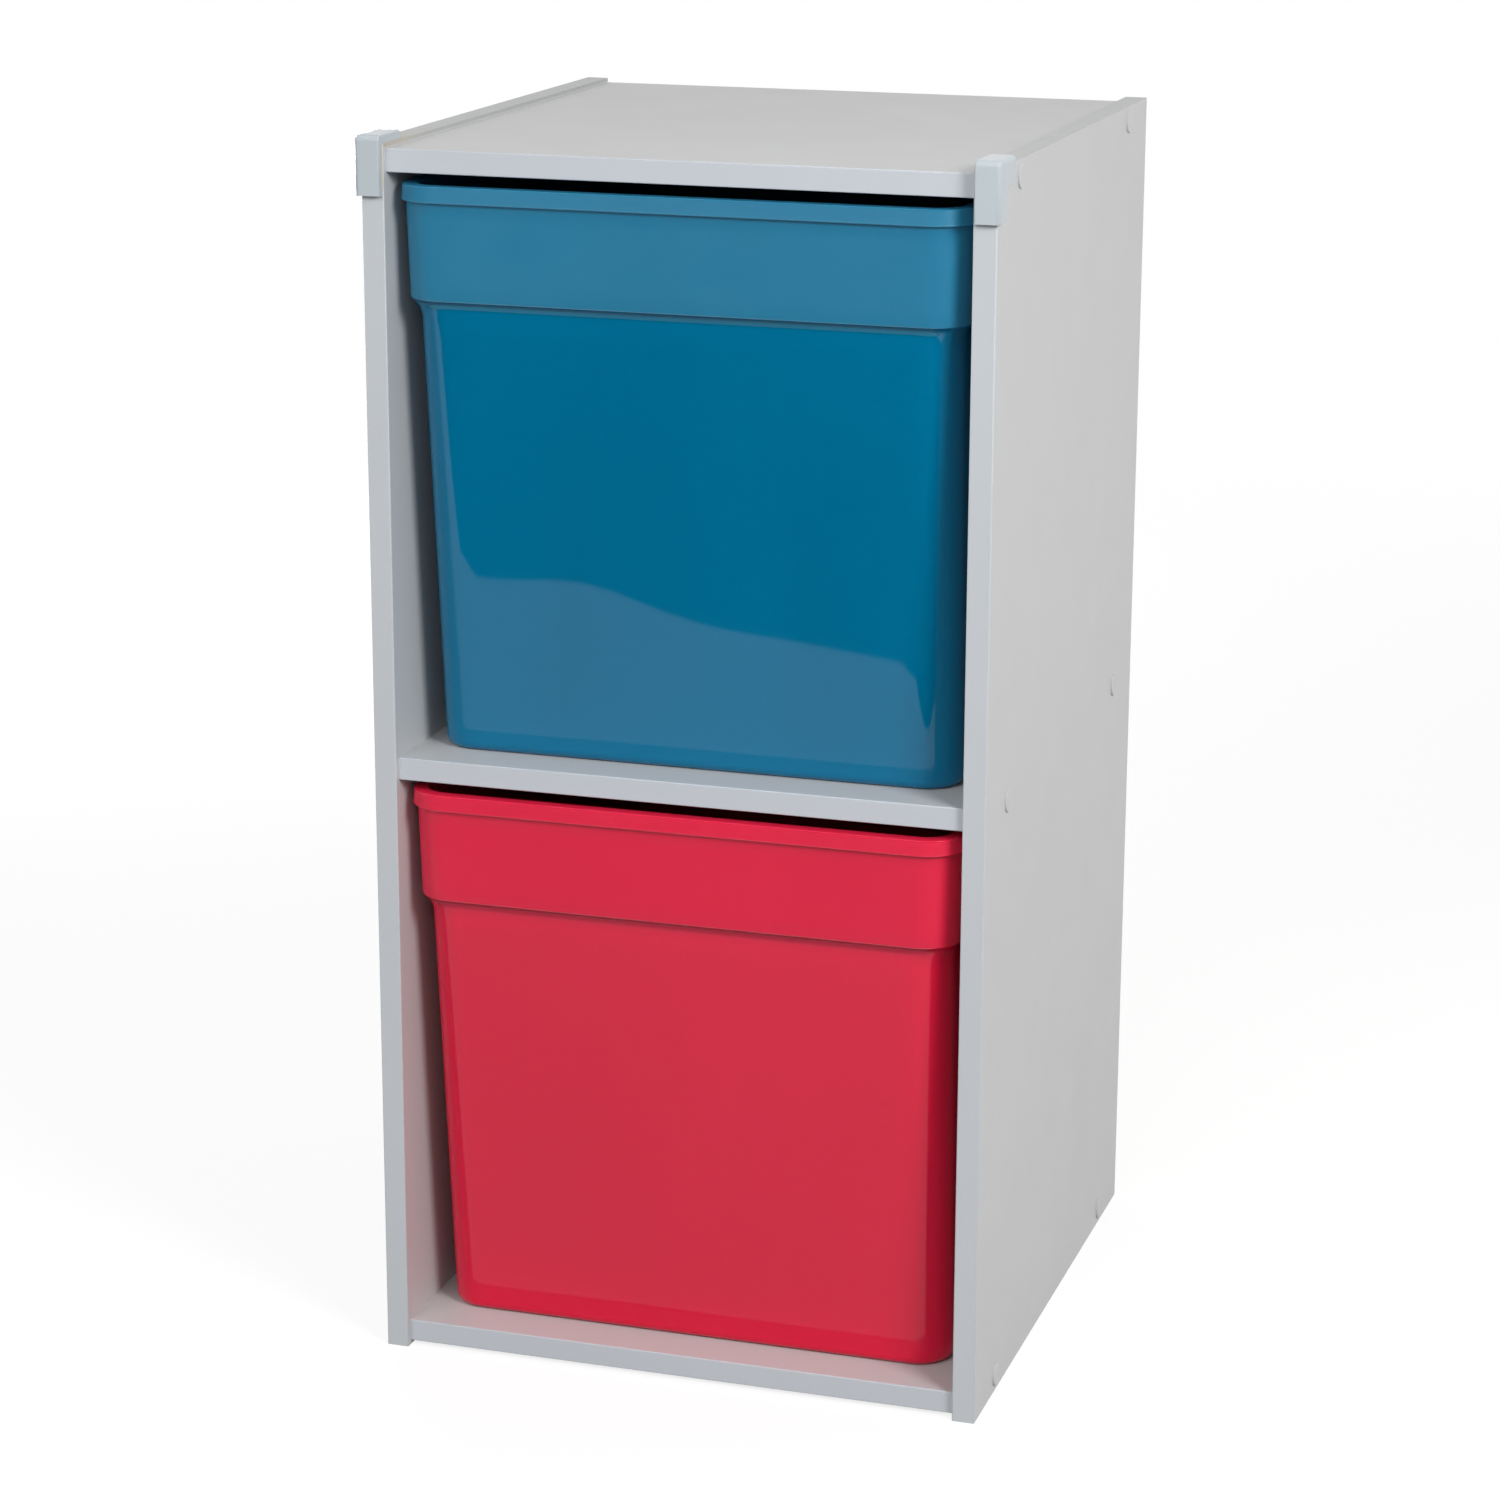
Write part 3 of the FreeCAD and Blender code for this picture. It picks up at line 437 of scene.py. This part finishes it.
# Each station is a height, the insets from the lip's outline in width, in depth at the corners and in
# depth along the flat fronts, and a corner radius
def binStations(shape, high):
    rimZ = high - shape["rimHeight"]
    hemZ = rimZ - shape["bandHeight"]
    bodyZ = hemZ - shape["sideDrop"]
    band = shape["rimOverhang"]
    hem = band + shape["bandTaper"]
    body = hem + shape["shoulderStep"]
    bandCorner = shape["rimCorner"] - band
    corner = shape["bodyCorner"]

    def wallAt(z, inset=0.0):
        share = 1 - z / bodyZ
        deep = body + shape["frontTaper"] * share + inset
        return (z, body + shape["sideTaper"] * share + inset, deep, deep, corner - inset)

    def evenAt(z, inset, radius):
        return (z, inset, inset, inset, radius)

    # one row of an edge rounded upward from its lowest line
    def roundAt(z, size, inset, radius, t):
        tuck = size * (1 - math.sin(t))
        return evenAt(z + size * (1 - math.cos(t)), inset + tuck, radius - tuck)

    stations = []
    edges = set()                                                     # rows of the polished, rounded edges

    def turnEdge(rows):
        edges.update(range(len(stations), len(stations) + len(rows) - 1))
        stations.extend(rows)

    # underside, from the recess to the foot ring
    ease = shape["recessEase"]
    ring = shape["footRing"]
    stations.append((shape["footRecess"], *wallAt(0, ring + ease)[1:]))
    stations.append(wallAt(0, ring - ease))
    # rounded foot and body wall
    foot = shape["footRound"]
    for t in quarter(shape["arcSteps"]):
        stations.append(wallAt(foot * (1 - math.cos(t)), foot * (1 - math.sin(t))))
    for k in range(1, shape["wallRows"] + 1):
        stations.append(wallAt(foot + (bodyZ - foot) * k / shape["wallRows"]))
    # hollow shoulder, a long sweep on the sides and a tight one in front and behind
    for share in shape["shoulderRows"]:
        z = bodyZ + shape["sideDrop"] * share
        side = body - sweepOut(shape, shape["sideDrop"], hemZ - z)
        front = body - sweepOut(shape, shape["frontDrop"], hemZ - z)
        stations.append((z, side, side, front, corner + (bandCorner - corner) * share))
    # hem and band
    gloss = len(stations)                                             # below this station the body is glossy
    turnEdge([roundAt(hemZ, shape["hemRound"], hem, bandCorner, t) for t in quarter(shape["edgeSteps"])])
    hemTop = hemZ + shape["hemRound"]
    for k in range(1, shape["bandRows"] + 1):
        z = hemTop + (rimZ - shape["rimFoot"] - hemTop) * k / shape["bandRows"]
        stations.append(evenAt(z, hem - shape["bandTaper"] * (z - hemZ) / shape["bandHeight"], bandCorner))
    # lip
    rimCorner = shape["rimCorner"]
    rimFoot = shape["rimFoot"]
    stations.append(evenAt(rimZ, band - rimFoot / 2, bandCorner + rimFoot / 2))
    turnEdge([roundAt(rimZ, rimFoot, 0, rimCorner, t) for t in quarter(shape["rimFootSteps"])])
    for share in shape["flareRows"]:                                  # the lip flares out at its foot
        inset = shape["flareOut"] * share * (2 - share)
        z = rimZ + rimFoot + (shape["flareHigh"] - rimFoot) * share
        stations.append(evenAt(z, inset, rimCorner - inset))
    topRound = []
    for t in quarter(shape["arcSteps"]):
        inset = shape["rimLean"] + shape["rimRound"] * (1 - math.cos(t))
        topRound.append(evenAt(high - shape["rimRound"] * (1 - math.sin(t)), inset, rimCorner - inset))
    turnEdge(topRound)
    land = shape["rimLand"]
    landRound = shape["landRound"]
    for t in quarter(shape["edgeSteps"]):
        inset = land - landRound * (1 - math.sin(t))
        stations.append(evenAt(high - landRound * (1 - math.cos(t)), inset, rimCorner - inset))
    # inside, down to the floor
    wall = shape["wall"]
    stations.append(evenAt(rimZ, land, rimCorner - land))
    stations.append(evenAt(rimZ - shape["rimSlope"], band + wall, bandCorner - wall))
    stations.append(evenAt(hemZ + wall, hem + wall, bandCorner - wall))
    low = shape["floor"] + shape["floorRound"]
    for k in range(shape["wallRows"] + 1):
        stations.append(wallAt(bodyZ - (bodyZ - low) * k / shape["wallRows"], wall))
    for t in quarter(shape["arcSteps"])[1:]:
        inset = wall + shape["floorRound"] * (1 - math.cos(t))
        stations.append(wallAt(low - shape["floorRound"] * math.sin(t), inset))
    return stations, gloss, edges, bodyZ


# Points round one station, with the outward direction at each
def ringPoints(halfWide, halfDeep, radius, shape):
    points = []
    straightX, straightY = halfWide - radius, halfDeep - radius
    sides = [((0, -1), (-1, 0)), ((1, 0), (0, -1)), ((0, 1), (1, 0)), ((-1, 0), (0, 1))]
    for (outX, outY), (fromX, fromY) in sides:
        for k in range(shape["sideSteps"]):
            along = 2 * k / shape["sideSteps"] - 1
            x = outX * halfWide if outX else -fromX * straightX * along
            y = outY * halfDeep if outY else -fromY * straightY * along
            points.append((x, y, outX, outY))
        centreX = (outX - fromX) * straightX
        centreY = (outY - fromY) * straightY
        for k in range(shape["cornerSteps"]):
            t = math.pi / 2 * k / shape["cornerSteps"]
            nx = outX * math.cos(t) - fromX * math.sin(t)
            ny = outY * math.cos(t) - fromY * math.sin(t)
            points.append((centreX + radius * nx, centreY + radius * ny, nx, ny))
    return points


def makeBin(node, shape, coats):
    low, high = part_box(node)
    middle = (low + high) / 2
    halfWide, halfDeep = (high.x - low.x) / 2, (high.y - low.y) / 2
    stations, gloss, edges, bodyZ = binStations(shape, high.z - low.z)
    form = bmesh.new()
    rings = []
    for z, insetWide, insetDeep, insetFront, radius in stations:
        wide, deep = halfWide - insetWide, halfDeep - insetDeep
        hollow = math.sin(math.pi * min(z / bodyZ, 1.0))              # the walls bow in most at half height
        ring = []
        for x, y, outX, outY in ringPoints(wide, deep, radius, shape):
            bowX = shape["bow"] * hollow * (1 - (y / deep) ** 2) * outX * abs(outX)
            bowY = shape["bow"] * hollow * (1 - (x / wide) ** 2) * max(outY, 0.0)
            across = (x / wide - shape["swellAt"]) / shape["swellWide"]
            swell = shape["swell"] * hollow * math.exp(-across ** 2) * max(-outY, 0.0)
            flat = fade(abs(outY), shape["flatFrom"], shape["flatTo"])
            tuck = math.copysign((insetFront - insetDeep) * flat, outY)
            ring.append(form.verts.new((middle.x + x - bowX, middle.y + y - bowY - swell - tuck, low.z + z)))
        rings.append(ring)
    count = len(rings[0])
    for k, (lower, upper) in enumerate(zip(rings, rings[1:])):
        for i in range(count):
            j = (i + 1) % count
            face = form.faces.new((lower[i], lower[j], upper[j], upper[i]))
            face.material_index = 0 if k < gloss else 2 if k in edges else 1      # gloss, polish or satin
    for ring, flip in ((rings[0], True), (rings[-1], False)):
        centre = form.verts.new((middle.x, middle.y, ring[0].co.z))
        for i in range(count):
            a, b = ring[i], ring[(i + 1) % count]
            form.faces.new((centre, b, a) if flip else (centre, a, b))
    for face in form.faces:
        face.smooth = True
    mesh = bpy.data.meshes.new(node + "Moulding")
    form.to_mesh(mesh)
    form.free()
    mesh.set_sharp_from_angle(angle=shape["sharper"])
    for coat in coats:
        mesh.materials.append(coat)
    piece = bpy.data.objects.new(node + "Moulding", mesh)
    scene.collection.objects.link(piece)
    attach(piece, node)
    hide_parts(node)
    return piece


bins = {
    "upper_bin": ("blue", blueBodyLook, blueBandLook),
    "lower_bin": ("red", redBodyLook, redBandLook),
}
for node, (colour, bodyLook, satinLook) in bins.items():
    coats = [plasticFinish(colour + "Gloss", bodyLook), plasticFinish(colour + "Satin", satinLook),
             plasticFinish(colour + "Polish", dict(satinLook, **polished))]
    makeBin(node, binShape, coats)
    print(node, "moulded")


# Studio: pale floor, soft lights, a dark card in front that only shows in the gloss

studio = {
    "floorHalf": 30.0, "floorColour": rgb(0.24, 0.24, 0.24), "floorPale": rgb(0.25, 0.25, 0.25),
    "floorCloud": 0.4, "floorRough": 0.9, "floorLift": 0.80, "fadeFrom": 0.9, "fadeTo": 2.6,
    "ambient": 0.35,
    "cardAt": (-0.33, -1.062), "cardTurn": math.radians(14), "cardHigh": 3.0, "cardHalf": 3.0,
    "cardColour": rgb(0.012, 0.012, 0.013), "cardPale": rgb(0.016, 0.016, 0.017), "cardCloud": 0.3,
    "sheetCuts": 7,
}
plainLamp = {"wide": 0.6, "high": 0.6, "tint": (1.0, 1.0, 1.0), "aim": (0.0, 0.0, 0.33)}
lamps = {
    "keySoftbox": dict(plainLamp, at=(1.43, -1.17, 1.36), power=23.0),
    "leftSoftbox": dict(plainLamp, at=(-0.8, -2.2, 1.6), wide=1.2, high=1.2, power=16.6),
    "frontSoftbox": dict(plainLamp, at=(0.1, -1.5, 1.2), power=4.0),
    "sideSoftbox": dict(plainLamp, at=(1.1, 0.45, 0.55), wide=0.5, high=0.5, power=2.3,
                        tint=(1.0, 0.995, 0.985)),
    "topSoftbox": dict(plainLamp, at=(0.0, 0.6, 2.6), wide=1.6, high=1.2, power=2.3),
    "rearSoftbox": dict(plainLamp, at=(-1.4, 1.9, 0.45), wide=0.9, high=0.4, power=22.0),
}


def flatSheet(name, corners, cuts):
    form = bmesh.new()
    form.faces.new([form.verts.new(corner) for corner in corners])
    bmesh.ops.subdivide_edges(form, edges=form.edges[:], cuts=cuts, use_grid_fill=True)
    mesh = bpy.data.meshes.new(name)
    form.to_mesh(mesh)
    form.free()
    sheet = bpy.data.objects.new(name, mesh)
    scene.collection.objects.link(sheet)
    return sheet


def shownRays(tree):
    path = addNode(tree, "ShaderNodeLightPath").outputs
    seen = sums(tree, "MAXIMUM", path["Is Camera Ray"], path["Is Glossy Ray"])
    return sums(tree, "MAXIMUM", seen, path["Is Transmission Ray"])


def makeFloor(look):
    half = look["floorHalf"]
    corners = [(-half, -half, 0), (half, -half, 0), (half, half, 0), (-half, half, 0)]
    floor = flatSheet("studioFloor", corners, look["sheetCuts"])
    finish, tree, shader = newFinish("paleFloor")
    where = place(tree)
    away = addNode(tree, "ShaderNodeVectorMath", operation="LENGTH")
    feed(tree, away.inputs[0], where)
    far = spread(tree, away.outputs["Value"], look["fadeFrom"], look["fadeTo"], smooth=True)
    near = blendColour(tree, noise(tree, where, look["floorCloud"]), look["floorColour"], look["floorPale"])
    feed(tree, shader.inputs["Base Color"], blendColour(tree, far, near, rgb(0, 0, 0)))
    shader.inputs["Roughness"].default_value = look["floorRough"]
    shader.inputs["Specular IOR Level"].default_value = 0.0
    shader.inputs["Emission Color"].default_value = rgb(1, 1, 1)
    lift = spread(tree, far, 0, 1, look["floorLift"], 1.0)            # plain white further out
    feed(tree, shader.inputs["Emission Strength"], sums(tree, "MULTIPLY", shownRays(tree), lift))
    floor.data.materials.append(finish)


def makeCard(look):
    middle = Vector((*look["cardAt"], 0))
    along = Vector((math.cos(look["cardTurn"]), math.sin(look["cardTurn"]), 0)) * look["cardHalf"]
    rise = Vector((0, 0, look["cardHigh"]))
    corners = [middle - along, middle + along, middle + along + rise, middle - along + rise]
    card = flatSheet("darkCard", corners, look["sheetCuts"])
    finish, tree, shader = newFinish("darkCloth")
    cloudy = noise(tree, place(tree), look["cardCloud"])
    feed(tree, shader.inputs["Base Color"], blendColour(tree, cloudy, look["cardColour"], look["cardPale"]))
    shader.inputs["Roughness"].default_value = 1.0
    shader.inputs["Specular IOR Level"].default_value = 0.0
    card.data.materials.append(finish)
    card.visible_camera = False
    card.visible_diffuse = False
    card.visible_transmission = False
    card.visible_shadow = False


def makeWorld(look):
    world = bpy.data.worlds.new("studioWorld")
    scene.world = world
    world.use_nodes = True
    tree = world.node_tree
    background = tree.nodes["Background"]
    background.inputs["Color"].default_value = rgb(1, 1, 1)
    feed(tree, background.inputs["Strength"], spread(tree, shownRays(tree), 0, 1, look["ambient"], 1.0))


def makeLamp(name, lamp):
    light = bpy.data.lights.new(name, "AREA")
    light.shape = "RECTANGLE"
    light.size, light.size_y = lamp["wide"], lamp["high"]
    light.energy = lamp["power"]
    light.color = lamp["tint"]
    piece = bpy.data.objects.new(name, light)
    scene.collection.objects.link(piece)
    piece.location = lamp["at"]
    piece.visible_camera = False
    piece.rotation_euler = (Vector(lamp["aim"]) - piece.location).to_track_quat("-Z", "Y").to_euler()


makeFloor(studio)
makeCard(studio)
makeWorld(studio)
for name, lamp in lamps.items():
    makeLamp(name, lamp)
print("studio lit")


# Camera, solved from the unit's own straight edges

cameraView = {
    "azimuth": 17.535, "elevation": 15.488, "roll": 0.185, "at": (0.625254, -2.014894, 0.890573),
    "lens": 95.4546, "sensor": 36.0,
}


def makeCamera(view):
    data = bpy.data.cameras.new("photoCamera")
    data.lens = view["lens"]
    data.sensor_width = view["sensor"]
    camera = bpy.data.objects.new("photoCamera", data)
    scene.collection.objects.link(camera)
    turn, tilt = math.radians(view["azimuth"]), math.radians(view["elevation"])
    back = Vector((math.sin(turn) * math.cos(tilt), -math.cos(turn) * math.cos(tilt), math.sin(tilt)))
    aim = (-back).to_track_quat("-Z", "Y")
    aim.rotate(Quaternion(back, math.radians(view["roll"])))
    camera.rotation_euler = aim.to_euler()
    camera.location = view["at"]
    scene.camera = camera


makeCamera(cameraView)
scene.view_settings.view_transform = "Standard"
print("camera set")
